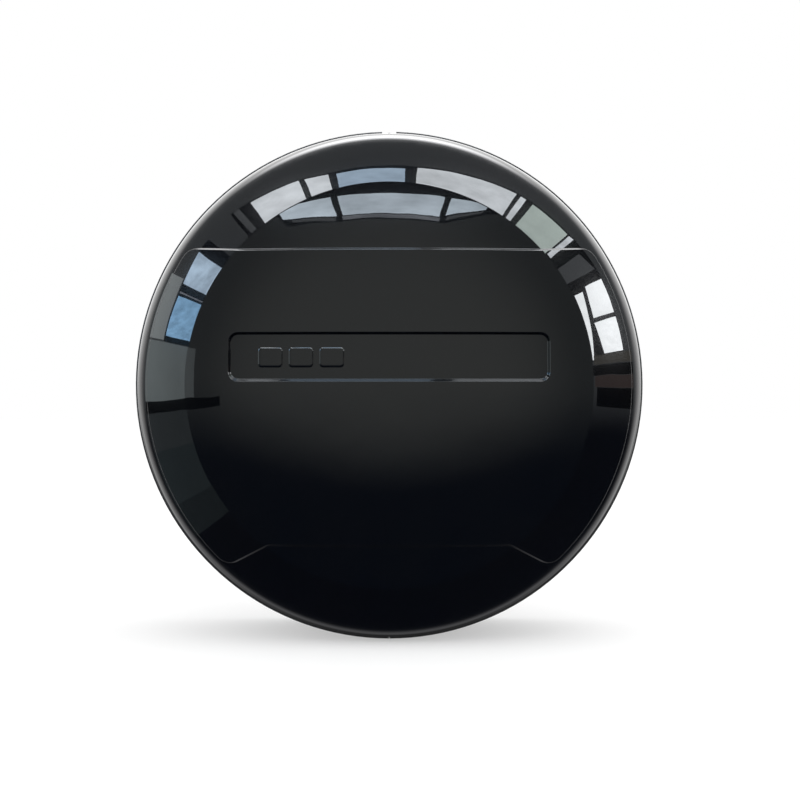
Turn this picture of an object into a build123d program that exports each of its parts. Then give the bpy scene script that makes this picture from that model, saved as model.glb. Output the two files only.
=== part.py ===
from build123d import *
from math import cos, hypot, radians, sin, tan
import os

# Round hard-shell cover for a spare tyre: a gloss face, and two half bands round the tread
# that hang from one hinge pin at the top and are drawn together by a latch at the bottom.
# Millimetres. The wheel's axis is Y, the face looks towards -Y, and +Z is up.
# The origin is on the wheel's axis, in the plane where the tyre's front sidewall rests.

# The tyre that the cover is made for
TYRE_R = 407.5

# Face shell: dome, crease, chamfer, rolled rim
WALL = 3.0
APEX_Y = -76.0
CREASE_R = 333.5
CREASE_Y = -50.0
DOME_POWER = 3
CHAMFER_START = 24.0
CHAMFER_END = 38.0
ROLL_R = 408.5
RIM_R = 426.5
DOME_RISE = CREASE_Y - APEX_Y
CREASE_SLOPE = DOME_POWER * DOME_RISE / CREASE_R
CHAMFER_ARC = (ROLL_R - CREASE_R) / (sin(radians(CHAMFER_END)) - sin(radians(CHAMFER_START)))
ROLL_ARC = (RIM_R - ROLL_R) / (1 - sin(radians(CHAMFER_END)))

# Neck and lip behind the rim, which the bands' front channel grips
RIM_BACK_Y = 35.5
NECK_R = 422.5
LIP_R = 426.5
LIP_Y = 40.0
LIP_THICK = 3.5
SEAL_THICK = 2.7

# Raised panel across the face
PANEL_LIFT = 3.5
PANEL_TOP = 221.0
PANEL_BOTTOM = -261.5
TOP_KNEE_X = 248.0
BOTTOM_KNEE_X = 199.0
PANEL_EDGE_R = 404.0
PANEL_CORNER = 26.0
TOP_FLARE = 4.0
BOTTOM_FLARE = 29.0

# Slot recess in the panel, and the bars in it
SLOT_WIDTH = 519.0
SLOT_HEIGHT = 76.0
SLOT_Z = 46.0
SLOT_CORNER = 14.0
SLOT_DEPTH = 6.0
BAR_WIDTH = 40.0
BAR_HEIGHT = 33.0
BAR_STEP = 50.0
BAR_FIRST_X = -193.0
BAR_PROUD = 2.0

# Ribs and pads inside the dome
RIB_THICK = 4.0
RIB_BACK_Y = -36.0
HUB_RING_R = 120.0
OUTER_RING_R = 296.0
RIB_COUNT = 10
BOND_GAP = 0.2
PAD_SHIFT = WALL / cos(radians(CHAMFER_END)) + BOND_GAP
PAD_COUNT = 8
PAD_RADIAL = 46.0
PAD_TANGENT = 90.0
PAD_MID_R = 331.0

# Half bands round the tread
BAND_IN_R = 416.0
BAND_OUT_R = 419.0
CHANNEL_R = 431.0
CHANNEL_FRONT_Y = 36.5
CHANNEL_BACK_Y = 48.0
BAND_BACK_Y = 243.0
FLANGE_IN_R = 380.5
TOP_SLIT = 12.0
BOTTOM_GAP = 0.5
BEAD_RISE = 1.6
BEADS_Y = (58.0, 222.0)
BEAD_WIDTH = 8.0
DRAIN_R = 4.0

# Hinge at the top
HINGE_Z = 430.0
PIN_R = 3.0
FIT = 0.05
KNUCKLE_R = 6.0
LEAF_THICK = 2.0
LEAF_START = 1.9
LEAF_ANGLE = 5.8
LEAF_Y = (90.0, 218.0)
LEFT_KNUCKLES = ((90.0, 120.0), (158.0, 188.0))
RIGHT_KNUCKLES = ((124.0, 154.0), (192.0, 218.0))
EARS_Y = ((78.0, 86.0), (222.0, 230.0))
PIN_Y = (71.0, 237.0)
CLIP_THICK = 1.2
BRIDGE_IN_R = 410.5
BRIDGE_OUT_R = 413.4
BRIDGE_HALF_ANGLE = 6.5
BRIDGE_Y = (6.0, 236.0)
BOSS_X = 24.0
BOSS_Z = 394.0
BOSS_R = 7.0

# Rivets
RIVET_R = 2.4
RIVET_HEAD_R = 4.5
HINGE_RIVET_ANGLE = 4.9
HINGE_RIVET_Y = (100.0, 136.0, 172.0, 208.0)
TONGUE_Y = (52.0, 236.0)
TONGUE_RIVET_Y = (76.0, 144.0, 212.0)

# Latch on the rear flange, below the tyre
LATCH_Z = -399.0
PLATE_THICK = 2.0
LEVER_PIVOT = (-34.0, 252.0)
LEVER_PIN_R = 2.0
BAIL_PIVOT = (-46.0, 247.6)
BAIL_PIN_R = 1.5
BAIL_WIRE_R = 1.5
EYE_R = 2.3
EYE_THICK = 3.4
BAIL_END = (28.5, 255.0)
BAIL_HALF_WIDTH = 11.5
EAR_INSIDE = 7.0
CHEEK_OUTSIDE = 6.5

os.makedirs("parts", exist_ok=True)


def dome_y(radius):
    """Height of the dome's outside at a radius: flat in the middle, steepening to the crease."""
    return APEX_Y + DOME_RISE * (radius / CREASE_R) ** DOME_POWER


def slope(degrees):
    """Unit vector in (radius, y) that climbs at this angle."""
    return (cos(radians(degrees)), sin(radians(degrees)))


def face_line(shift):
    """Outside of the dome and the chamfer in (radius, y), moved back along y by shift."""
    points = [(CREASE_R * i / 8, dome_y(CREASE_R * i / 8) + shift) for i in range(9)]
    dome = Spline(points, tangents=((1, 0), (1, CREASE_SLOPE)))
    return dome, JernArc(dome @ 1, slope(CHAMFER_START), CHAMFER_ARC, CHAMFER_END - CHAMFER_START)


def face_layer(front_shift, back_shift):
    """Solid between the face's outside moved by one distance and moved by another."""
    with BuildPart() as layer:
        with BuildSketch():
            with BuildLine():
                front_dome, front_chamfer = face_line(front_shift)
                back_dome, back_chamfer = face_line(back_shift)
                Line(front_dome @ 0, back_dome @ 0)
                Line(front_chamfer @ 1, back_chamfer @ 1)
            make_face()
        revolve(axis=Axis.Y)
    return layer.part


def behind_face(shift, back_y):
    """Everything behind the face's outside, moved back by shift, as far as the plane back_y."""
    with BuildPart() as space:
        with BuildSketch():
            with BuildLine():
                dome, chamfer = face_line(shift)
                Line(dome @ 0, (0, back_y))
                Line((0, back_y), (ROLL_R, back_y))
                Line((ROLL_R, back_y), chamfer @ 1)
            make_face()
        revolve(axis=Axis.Y)
    return space.part


def strip(inner, outer, start, size):
    """Curved strip in a sketch, between two radii, from an angle in degrees."""
    with BuildLine() as outline:
        outside = CenterArc((0, 0), outer, start, size)
        inside = CenterArc((0, 0), inner, start, size)
        Line(outside @ 0, inside @ 0)
        Line(outside @ 1, inside @ 1)
    make_face(outline.edges())


def rear_plane(y):
    """Sketch plane across the wheel's axis at y, whose extrusions run forwards, towards -Y."""
    return Plane.XZ.offset(-y)


def radial_plane(angle, y, radius):
    """Plane facing outwards at a radius, at an angle in degrees from +X towards +Z."""
    outward = (cos(radians(angle)), 0, sin(radians(angle)))
    return Plane(origin=(0, y, 0), x_dir=(0, 1, 0), z_dir=outward).offset(radius)


def rod(plane, radius, length, mode=Mode.ADD):
    """Round bar or hole from a plane."""
    with BuildSketch(plane) as section:
        Circle(radius)
    extrude(section.sketch, amount=length, mode=mode)


def radial_rivet(angle, y, foot, seat, head):
    """Rivet along a radius: its upset foot, its shank to the seat, and its head."""
    rod(radial_plane(angle, y, foot), RIVET_HEAD_R, BAND_IN_R - foot - FIT)
    rod(radial_plane(angle, y, foot), RIVET_R, seat - foot)
    with BuildSketch(radial_plane(angle, y, seat)) as head_section:
        Circle(RIVET_HEAD_R)
    extrude(head_section.sketch, amount=head, taper=35)


def export(piece, name):
    piece.part.label = name
    export_step(piece.part, f"parts/{name}.step")


# ---- face_shell ----

with BuildPart() as raised_panel:
    add(face_layer(-PANEL_LIFT, WALL / 2))
    top_reach = (RIM_R - TOP_KNEE_X) * tan(radians(TOP_FLARE))
    bottom_reach = (RIM_R - BOTTOM_KNEE_X) * tan(radians(BOTTOM_FLARE))
    with BuildSketch(rear_plane(20)) as panel_outline:
        with BuildLine():
            Polyline(
                (-RIM_R, PANEL_TOP + top_reach),
                (-TOP_KNEE_X, PANEL_TOP),
                (TOP_KNEE_X, PANEL_TOP),
                (RIM_R, PANEL_TOP + top_reach),
                (RIM_R, PANEL_BOTTOM - bottom_reach),
                (BOTTOM_KNEE_X, PANEL_BOTTOM),
                (-BOTTOM_KNEE_X, PANEL_BOTTOM),
                (-RIM_R, PANEL_BOTTOM - bottom_reach),
                close=True,
            )
        make_face()
        Circle(PANEL_EDGE_R, mode=Mode.INTERSECT)
        corners = panel_outline.vertices()
        rim_corners = corners.filter_by(lambda v: v.Z != 0 and hypot(v.X, v.Z) > CREASE_R + 30)
        fillet(rim_corners, radius=PANEL_CORNER)
    extrude(amount=120, mode=Mode.INTERSECT)

with BuildPart() as slot_back:
    add(face_layer(WALL / 2, WALL + SLOT_DEPTH - PANEL_LIFT))
    with BuildSketch(rear_plane(20)):
        with Locations((0, SLOT_Z)):
            RectangleRounded(SLOT_WIDTH + 2 * WALL, SLOT_HEIGHT + 2 * WALL, SLOT_CORNER + WALL)
    extrude(amount=120, mode=Mode.INTERSECT)

with BuildPart() as slot_pocket:
    add(face_layer(-2 * PANEL_LIFT, SLOT_DEPTH - PANEL_LIFT))
    with BuildSketch(rear_plane(20)):
        with Locations((0, SLOT_Z)):
            RectangleRounded(SLOT_WIDTH, SLOT_HEIGHT, SLOT_CORNER)
    extrude(amount=120, mode=Mode.INTERSECT)

with BuildPart() as bridge_bosses:
    for side in (-1, 1):
        with BuildSketch(rear_plane(BRIDGE_Y[0] - BOND_GAP)):
            with Locations((side * BOSS_X, BOSS_Z)):
                Circle(BOSS_R)
        extrude(amount=60)
    add(behind_face(WALL / 2, BRIDGE_Y[0]), mode=Mode.INTERSECT)
    for side in (-1, 1):
        with BuildSketch(rear_plane(BRIDGE_Y[0])):
            with Locations((side * BOSS_X, BOSS_Z)):
                Circle(RIVET_R)
        extrude(amount=11, mode=Mode.SUBTRACT)

with BuildPart() as face_shell:
    with BuildSketch():
        with BuildLine():
            dome_line, chamfer_line = face_line(0)
            roll = JernArc(chamfer_line @ 1, slope(CHAMFER_END), ROLL_ARC, 90 - CHAMFER_END)
            inner_start = (
                CREASE_R - WALL * sin(radians(CHAMFER_START)),
                CREASE_Y + WALL * cos(radians(CHAMFER_START)),
            )
            inner_points = [(inner_start[0] * i / 8, dome_y(inner_start[0] * i / 8) + WALL) for i in range(8)]
            inner_dome = Spline(inner_points + [inner_start], tangents=((1, 0), (1, CREASE_SLOPE)))
            inner_chamfer = JernArc(
                inner_start, slope(CHAMFER_START), CHAMFER_ARC - WALL, CHAMFER_END - CHAMFER_START
            )
            inner_roll = JernArc(inner_chamfer @ 1, slope(CHAMFER_END), ROLL_ARC - WALL, 90 - CHAMFER_END)
            Line(dome_line @ 0, inner_dome @ 0)
            Polyline(
                roll @ 1,
                (RIM_R, RIM_BACK_Y),
                (NECK_R, RIM_BACK_Y),
                (NECK_R, LIP_Y),
                (LIP_R, LIP_Y),
                (LIP_R, LIP_Y + LIP_THICK),
                (NECK_R - WALL, LIP_Y + LIP_THICK),
                (NECK_R - WALL, RIM_BACK_Y - WALL),
                (RIM_R - WALL, RIM_BACK_Y - WALL),
                inner_roll @ 1,
            )
        make_face()
    revolve(axis=Axis.Y)
    add(raised_panel.part)
    add(slot_back.part)
    add(slot_pocket.part, mode=Mode.SUBTRACT)
    add(bridge_bosses.part)
export(face_shell, "face_shell")

# ---- badge_bars: three plain bars at the slot's left end ----

with BuildPart() as badge_bars:
    add(face_layer(SLOT_DEPTH - PANEL_LIFT - BAR_PROUD, SLOT_DEPTH - PANEL_LIFT))
    with BuildSketch(rear_plane(20)):
        for i in range(3):
            with Locations((BAR_FIRST_X + i * BAR_STEP, SLOT_Z - 1)):
                RectangleRounded(BAR_WIDTH, BAR_HEIGHT, 6)
    extrude(amount=120, mode=Mode.INTERSECT)
export(badge_bars, "badge_bars")

# ---- rib_frame: two rings and radial ribs, bonded inside the dome ----

with BuildPart() as rib_frame:
    with BuildSketch(rear_plane(RIB_BACK_Y)):
        for ring_r in (OUTER_RING_R, HUB_RING_R):
            Circle(ring_r)
            Circle(ring_r - RIB_THICK, mode=Mode.SUBTRACT)
        with PolarLocations((HUB_RING_R + OUTER_RING_R - RIB_THICK) / 2, RIB_COUNT, start_angle=90):
            Rectangle(OUTER_RING_R - HUB_RING_R, RIB_THICK)
    extrude(amount=60)
    add(behind_face(WALL + BOND_GAP, RIB_BACK_Y), mode=Mode.INTERSECT)
    with BuildSketch(rear_plane(RIB_BACK_Y - 20)):
        with Locations((0, SLOT_Z)):
            RectangleRounded(SLOT_WIDTH + 14, SLOT_HEIGHT + 14, SLOT_CORNER + 7)
    extrude(amount=60, mode=Mode.SUBTRACT)
export(rib_frame, "rib_frame")

# ---- sidewall_pads: foam blocks between the face and the tyre's sidewall ----

with BuildPart() as sidewall_pads:
    with BuildSketch(rear_plane(0)):
        with PolarLocations(PAD_MID_R, PAD_COUNT, start_angle=22.5):
            RectangleRounded(PAD_RADIAL, PAD_TANGENT, 8)
    extrude(amount=70)
    add(behind_face(PAD_SHIFT, RIM_BACK_Y), mode=Mode.INTERSECT)
export(sidewall_pads, "sidewall_pads")

# ---- rim_seal: rubber ring behind the lip ----

with BuildPart() as rim_seal:
    seal_y = LIP_Y + LIP_THICK + FIT
    with BuildSketch():
        with BuildLine():
            Polyline(
                (NECK_R - WALL + 0.6, seal_y),
                (LIP_R - 0.4, seal_y),
                (LIP_R - 0.4, seal_y + SEAL_THICK - 0.8),
                (NECK_R, seal_y + SEAL_THICK),
                (NECK_R - WALL + 0.6, seal_y + 0.8),
                close=True,
            )
        make_face()
    revolve(axis=Axis.Y)
export(rim_seal, "rim_seal")

# ---- top_bridge: plate over the tread, front tab on the bosses, two ears for the pin ----

with BuildPart() as top_bridge:
    with BuildSketch(rear_plane(BRIDGE_Y[1])):
        strip(BRIDGE_IN_R, BRIDGE_OUT_R, 90 - BRIDGE_HALF_ANGLE, 2 * BRIDGE_HALF_ANGLE)
    extrude(amount=BRIDGE_Y[1] - BRIDGE_Y[0])
    with BuildSketch(rear_plane(BRIDGE_Y[0] + WALL)):
        strip(BOSS_Z - 11, BRIDGE_OUT_R, 90 - 5, 10)
    extrude(amount=WALL)
    for side in (-1, 1):
        with BuildSketch(rear_plane(BRIDGE_Y[0] + WALL)):
            with Locations((side * BOSS_X, BOSS_Z)):
                Circle(RIVET_R + 0.2)
        extrude(amount=WALL, mode=Mode.SUBTRACT)
    for ear_y in EARS_Y:
        with BuildSketch(rear_plane(ear_y[1])):
            with Locations((0, HINGE_Z)):
                Circle(KNUCKLE_R + 1)
            with Locations((0, (BRIDGE_OUT_R + HINGE_Z) / 2 - 0.5)):
                Rectangle(2 * (KNUCKLE_R + 1), HINGE_Z - BRIDGE_OUT_R + 1)
        extrude(amount=ear_y[1] - ear_y[0])
    with BuildSketch(rear_plane(EARS_Y[1][1])):
        with Locations((0, HINGE_Z)):
            Circle(PIN_R + FIT)
    extrude(amount=EARS_Y[1][1] - EARS_Y[0][0], mode=Mode.SUBTRACT)
export(top_bridge, "top_bridge")

with BuildPart() as bridge_screws:
    for side in (-1, 1):
        with BuildSketch(rear_plane(BRIDGE_Y[0] + WALL + 2.4)):
            with Locations((side * BOSS_X, BOSS_Z)):
                Circle(RIVET_HEAD_R)
                RegularPolygon(1.8, 6, mode=Mode.SUBTRACT)
        extrude(amount=2.4)
        with BuildSketch(rear_plane(BRIDGE_Y[0] + WALL + 0.6)):
            with Locations((side * BOSS_X, BOSS_Z)):
                Circle(RIVET_R - FIT)
        extrude(amount=WALL + 10)
export(bridge_screws, "bridge_screws")

# ---- hinge_pin and its clips ----

with BuildPart() as hinge_pin:
    rod(rear_plane(PIN_Y[1]).shift_origin((0, PIN_Y[1], HINGE_Z)), PIN_R, PIN_Y[1] - PIN_Y[0])
    chamfer(hinge_pin.edges().filter_by(GeomType.CIRCLE), length=0.6)
    for clip_y in (EARS_Y[0][0] - 0.3, EARS_Y[1][1] + 0.3 + CLIP_THICK):
        with BuildSketch(rear_plane(clip_y + 0.1)):
            with Locations((0, HINGE_Z)):
                Circle(PIN_R + 1)
                Circle(PIN_R - 0.7, mode=Mode.SUBTRACT)
        extrude(amount=CLIP_THICK + 0.2, mode=Mode.SUBTRACT)
export(hinge_pin, "hinge_pin")

with BuildPart() as pin_clips:
    for clip_y in (EARS_Y[0][0] - 0.3, EARS_Y[1][1] + 0.3 + CLIP_THICK):
        with BuildSketch(rear_plane(clip_y)):
            with Locations((0, HINGE_Z)):
                Circle(PIN_R + 2.6)
                Circle(PIN_R - 0.6, mode=Mode.SUBTRACT)
            with Locations((0, HINGE_Z + PIN_R + 1)):
                Rectangle(3.6, 2 * PIN_R + 2, mode=Mode.SUBTRACT)
        extrude(amount=CLIP_THICK)
export(pin_clips, "pin_clips")


# ---- half bands ----

def half_ring(side, slit):
    """Keep one half of a full ring about the wheel's axis, and open it at the top and bottom."""
    split(bisect_by=Plane.YZ, keep=Keep.TOP if side > 0 else Keep.BOTTOM)
    with BuildSketch(rear_plane(300)) as openings:
        with Locations((0, 400)):
            Rectangle(2 * slit, 200)
        with Locations((0, -400)):
            Rectangle(2 * BOTTOM_GAP, 200)
    extrude(openings.sketch, amount=400, mode=Mode.SUBTRACT)


def bead_line(y):
    """Outline of one bead round the tread wall, from its front foot to its rear foot."""
    return [
        (BAND_OUT_R, y),
        (BAND_OUT_R + BEAD_RISE, y + 2),
        (BAND_OUT_R + BEAD_RISE, y + BEAD_WIDTH - 2),
        (BAND_OUT_R, y + BEAD_WIDTH),
    ]


def make_band(side, rivet_angle):
    """Half band: front channel, tread wall with two beads, rear flange, rivet and drain holes."""
    with BuildPart() as band:
        with BuildSketch():
            with BuildLine():
                Polyline(
                    (NECK_R + 0.9, CHANNEL_FRONT_Y),
                    (CHANNEL_R - 1, CHANNEL_FRONT_Y),
                    (CHANNEL_R, CHANNEL_FRONT_Y + 1),
                    (CHANNEL_R, CHANNEL_BACK_Y),
                    (BAND_OUT_R, CHANNEL_BACK_Y + 6),
                    *bead_line(BEADS_Y[0]),
                    *bead_line(BEADS_Y[1]),
                    (BAND_OUT_R, BAND_BACK_Y - 6),
                )
                RadiusArc((BAND_OUT_R, BAND_BACK_Y - 6), (BAND_OUT_R - 6, BAND_BACK_Y), -6)
                Polyline(
                    (BAND_OUT_R - 6, BAND_BACK_Y),
                    (FLANGE_IN_R, BAND_BACK_Y),
                    (FLANGE_IN_R, BAND_BACK_Y - WALL),
                    (BAND_IN_R - 3, BAND_BACK_Y - WALL),
                )
                RadiusArc((BAND_IN_R - 3, BAND_BACK_Y - WALL), (BAND_IN_R, BAND_BACK_Y - 6), 3)
                Polyline(
                    (BAND_IN_R, BAND_BACK_Y - 6),
                    (BAND_IN_R, CHANNEL_BACK_Y - 1),
                    (LIP_R + 0.9, CHANNEL_BACK_Y - 1),
                    (LIP_R + 0.9, CHANNEL_FRONT_Y + WALL),
                    (NECK_R + 0.9, CHANNEL_FRONT_Y + WALL),
                    (NECK_R + 0.9, CHANNEL_FRONT_Y),
                )
            make_face()
        revolve(axis=Axis.Y)
        half_ring(side, TOP_SLIT)
        for y in HINGE_RIVET_Y:
            rod(radial_plane(rivet_angle, y, BAND_IN_R - 4), RIVET_R + FIT, 10, Mode.SUBTRACT)
        for y in (80, 190):
            rod(radial_plane(-90 + side * 11, y, BAND_IN_R - 4), DRAIN_R, 10, Mode.SUBTRACT)
    return band


left_rivet_angle = 90 + HINGE_RIVET_ANGLE
right_rivet_angle = 90 - HINGE_RIVET_ANGLE
latch_rivet_places = ((-64, LATCH_Z - 6), (-64, LATCH_Z + 6), (-27, LATCH_Z))
keeper_rivet_places = ((38, LATCH_Z - 5), (38, LATCH_Z + 5))


def flange_holes(places):
    """Rivet holes through the rear flange and what lies on it."""
    with BuildSketch(rear_plane(BAND_BACK_Y + 10)) as holes:
        with Locations(*places):
            Circle(1.5 + FIT)
    extrude(holes.sketch, amount=20, mode=Mode.SUBTRACT)


def flange_rivets(places):
    """Small rivets through the rear flange and a plate on it."""
    for y, radius, length in (
        (BAND_BACK_Y + PLATE_THICK + 1.2, 2.8, 1.15),
        (BAND_BACK_Y + PLATE_THICK + 0.5, 1.5, 7),
        (BAND_BACK_Y - WALL - FIT, 2.8, 1.2),
    ):
        with BuildSketch(rear_plane(y)) as sections:
            with Locations(*places):
                Circle(radius)
        extrude(sections.sketch, amount=length)


tongue_angle = -90 - 3.3

left_band = make_band(-1, left_rivet_angle)
with left_band:
    for y in TONGUE_RIVET_Y:
        rod(radial_plane(tongue_angle, y, BAND_IN_R - 8), RIVET_R + FIT, 14, Mode.SUBTRACT)
    flange_holes(latch_rivet_places)
export(left_band, "left_band")

right_band = make_band(1, right_rivet_angle)
with right_band:
    flange_holes(keeper_rivet_places)
export(right_band, "right_band")


# ---- hinge leaves ----

def make_leaf(side, knuckles, rivet_angle):
    """Hinge leaf: a curved plate on the band and knuckles round the pin."""
    with BuildPart() as leaf:
        with BuildSketch(rear_plane(LEAF_Y[1])):
            start = 90 + LEAF_START if side < 0 else 90 - LEAF_START - LEAF_ANGLE
            strip(BAND_OUT_R + FIT, BAND_OUT_R + LEAF_THICK, start, LEAF_ANGLE)
        extrude(amount=LEAF_Y[1] - LEAF_Y[0])
        for first, last in knuckles:
            with BuildSketch(rear_plane(last)):
                with Locations((0, HINGE_Z)):
                    Circle(KNUCKLE_R)
                with BuildLine():
                    Polyline(
                        (side * 5.9, HINGE_Z - 1),
                        (side * 1.5, HINGE_Z - 5.7),
                        (side * 14.4, BAND_OUT_R - 0.1),
                        (side * 20, BAND_OUT_R + 1.4),
                        close=True,
                    )
                make_face()
            extrude(amount=last - first)
            with BuildSketch(rear_plane(last)):
                with Locations((0, HINGE_Z)):
                    Circle(PIN_R + FIT)
            extrude(amount=last - first, mode=Mode.SUBTRACT)
        for y in HINGE_RIVET_Y:
            rod(radial_plane(rivet_angle, y, BAND_IN_R), RIVET_R + FIT, 10, Mode.SUBTRACT)
    return leaf


def make_hinge_rivets(angle):
    with BuildPart() as rivets:
        for y in HINGE_RIVET_Y:
            radial_rivet(angle, y, BAND_IN_R - 1.5, BAND_OUT_R + LEAF_THICK + FIT, 1.6)
    return rivets


left_hinge_leaf = make_leaf(-1, LEFT_KNUCKLES, left_rivet_angle)
export(left_hinge_leaf, "left_hinge_leaf")
right_hinge_leaf = make_leaf(1, RIGHT_KNUCKLES, right_rivet_angle)
export(right_hinge_leaf, "right_hinge_leaf")
left_hinge_rivets = make_hinge_rivets(left_rivet_angle)
export(left_hinge_rivets, "left_hinge_rivets")
right_hinge_rivets = make_hinge_rivets(right_rivet_angle)
export(right_hinge_rivets, "right_hinge_rivets")


# ---- rubber trim on the rear flange's edge, and grip pads on the tread wall ----

def make_edge_trim(side):
    """U section pushed over the flange's inner edge."""
    front = BAND_BACK_Y - WALL
    with BuildPart() as trim:
        with BuildSketch():
            with BuildLine():
                Polyline(
                    (FLANGE_IN_R - 4.5, front - 2),
                    (FLANGE_IN_R + 5.5, front - 2),
                    (FLANGE_IN_R + 5.5, front - FIT),
                    (FLANGE_IN_R - FIT, front - FIT),
                    (FLANGE_IN_R - FIT, BAND_BACK_Y + FIT),
                    (FLANGE_IN_R + 5.5, BAND_BACK_Y + FIT),
                    (FLANGE_IN_R + 5.5, BAND_BACK_Y + 2),
                    (FLANGE_IN_R - 4.5, BAND_BACK_Y + 2),
                    close=True,
                )
            make_face()
        revolve(axis=Axis.Y)
        half_ring(side, TOP_SLIT)
    return trim


def make_grip_pads(side):
    """Three ribbed rubber pads that keep the band off the tread."""
    with BuildPart() as pads:
        for angle in (50, 0, -50):
            with BuildSketch(rear_plane(190)):
                middle = angle if side > 0 else 180 - angle
                strip(TYRE_R + 1.5, BAND_IN_R - FIT, middle - 5, 10)
            extrude(amount=100)
    return pads


for name, side in (("left", -1), ("right", 1)):
    export(make_edge_trim(side), f"{name}_edge_trim")
    export(make_grip_pads(side), f"{name}_grip_pads")

# ---- overlap_tongue: closes the joint between the bands from inside ----

with BuildPart() as overlap_tongue:
    with BuildSketch(rear_plane(TONGUE_Y[1])):
        strip(BAND_IN_R - 3.2, BAND_IN_R - 0.6, -90 - 5.6, 9.8)
    extrude(amount=TONGUE_Y[1] - TONGUE_Y[0])
    for y in TONGUE_RIVET_Y:
        rod(radial_plane(tongue_angle, y, BAND_IN_R - 8), RIVET_R + FIT, 14, Mode.SUBTRACT)
export(overlap_tongue, "overlap_tongue")

with BuildPart() as tongue_rivets:
    for y in TONGUE_RIVET_Y:
        rod(radial_plane(tongue_angle, y, BAND_IN_R - 4.7), RIVET_HEAD_R, 1.45)
        rod(radial_plane(tongue_angle, y, BAND_IN_R - 4), RIVET_R, 7.4)
        with BuildSketch(radial_plane(tongue_angle, y, BAND_OUT_R + FIT)):
            Circle(RIVET_HEAD_R)
        extrude(amount=1.5, taper=35)
export(tongue_rivets, "tongue_rivets")

# ---- latch: base, lever, bail and keeper on the rear flange ----

BAIL_TILT = (BAIL_END[0] - BAIL_PIVOT[0], BAIL_END[1] - BAIL_PIVOT[1])
BAIL_LENGTH = hypot(*BAIL_TILT)


def across(z):
    """Sketch plane square to the latch's pins, at height z; extrusions run up."""
    return Plane.XY.offset(z)


with BuildPart() as latch_base:
    with BuildSketch(rear_plane(BAND_BACK_Y + PLATE_THICK)):
        with Locations((-47, LATCH_Z)):
            RectangleRounded(46, 24, 4)
    extrude(amount=PLATE_THICK - FIT)
    for bottom in (LATCH_Z - EAR_INSIDE - PLATE_THICK, LATCH_Z + EAR_INSIDE):
        with BuildSketch(across(bottom)):
            with Locations(LEVER_PIVOT):
                Circle(4.5)
            with BuildLine():
                Polyline(
                    (LEVER_PIVOT[0] - 4.5, LEVER_PIVOT[1]),
                    (LEVER_PIVOT[0] - 6, BAND_BACK_Y + 1),
                    (LEVER_PIVOT[0] + 6, BAND_BACK_Y + 1),
                    (LEVER_PIVOT[0] + 4.5, LEVER_PIVOT[1]),
                    close=True,
                )
            make_face()
            with Locations(LEVER_PIVOT):
                Circle(LEVER_PIN_R + FIT, mode=Mode.SUBTRACT)
        extrude(amount=PLATE_THICK)
    flange_holes(latch_rivet_places)
export(latch_base, "latch_base")

with BuildPart() as latch_rivets:
    flange_rivets(latch_rivet_places)
export(latch_rivets, "latch_rivets")

with BuildPart() as lever_pin:
    with BuildSketch(across(LATCH_Z - EAR_INSIDE - PLATE_THICK - 0.4)):
        with Locations(LEVER_PIVOT):
            Circle(LEVER_PIN_R)
    extrude(amount=2 * (EAR_INSIDE + PLATE_THICK) + 0.8)
export(lever_pin, "lever_pin")

with BuildPart() as latch_lever:
    with BuildSketch(across(LATCH_Z - CHEEK_OUTSIDE)):
        with BuildLine():
            Polyline(
                (-30, 254.5),
                (-68, 254.5),
                (-76, 258),
                (-75.2, 259.8),
                (-67.6, 256.5),
                (-30, 256.5),
                close=True,
            )
        make_face()
    extrude(amount=2 * CHEEK_OUTSIDE)
    for bottom in (LATCH_Z - CHEEK_OUTSIDE, LATCH_Z + CHEEK_OUTSIDE - PLATE_THICK):
        with BuildSketch(across(bottom)):
            with BuildLine():
                Polyline(
                    (-30, 256.5),
                    (-54, 256.5),
                    (-50, 246.2),
                    (-44, 245.6),
                    (-36, 248.4),
                    (-31, 248.8),
                    (-30, 250),
                    close=True,
                )
            make_face()
            with Locations(LEVER_PIVOT):
                Circle(LEVER_PIN_R + FIT, mode=Mode.SUBTRACT)
            with Locations(BAIL_PIVOT):
                Circle(BAIL_PIN_R + FIT, mode=Mode.SUBTRACT)
        extrude(amount=PLATE_THICK)
export(latch_lever, "latch_lever")

with BuildPart() as bail_pin:
    with BuildSketch(across(LATCH_Z - BAIL_HALF_WIDTH - 2.2)):
        with Locations(BAIL_PIVOT):
            Circle(BAIL_PIN_R)
    extrude(amount=2 * (BAIL_HALF_WIDTH + 2.2))
export(bail_pin, "bail_pin")

with BuildPart() as latch_bail:
    bail_plane = Plane(
        origin=(BAIL_PIVOT[0], BAIL_PIVOT[1], LATCH_Z),
        x_dir=(BAIL_TILT[0], BAIL_TILT[1], 0),
        z_dir=(-BAIL_TILT[1], BAIL_TILT[0], 0),
    )
    with BuildLine(bail_plane) as bail_path:
        FilletPolyline(
            (BAIL_PIN_R + 0.4, -BAIL_HALF_WIDTH),
            (BAIL_LENGTH, -BAIL_HALF_WIDTH),
            (BAIL_LENGTH, BAIL_HALF_WIDTH),
            (BAIL_PIN_R + 0.4, BAIL_HALF_WIDTH),
            radius=5,
        )
    with BuildSketch(Plane(origin=bail_path.line @ 0, z_dir=bail_path.line % 0)):
        Circle(BAIL_WIRE_R)
    sweep(path=bail_path.line)
    for arm in (-BAIL_HALF_WIDTH, BAIL_HALF_WIDTH):
        with BuildSketch(across(LATCH_Z + arm - EYE_THICK / 2)):
            with Locations(BAIL_PIVOT):
                Circle(EYE_R)
        extrude(amount=EYE_THICK)
    with BuildSketch(across(LATCH_Z - BAIL_HALF_WIDTH - 2)):
        with Locations(BAIL_PIVOT):
            Circle(BAIL_PIN_R + FIT)
    extrude(amount=2 * BAIL_HALF_WIDTH + 4, mode=Mode.SUBTRACT)
export(latch_bail, "latch_bail")

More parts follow.
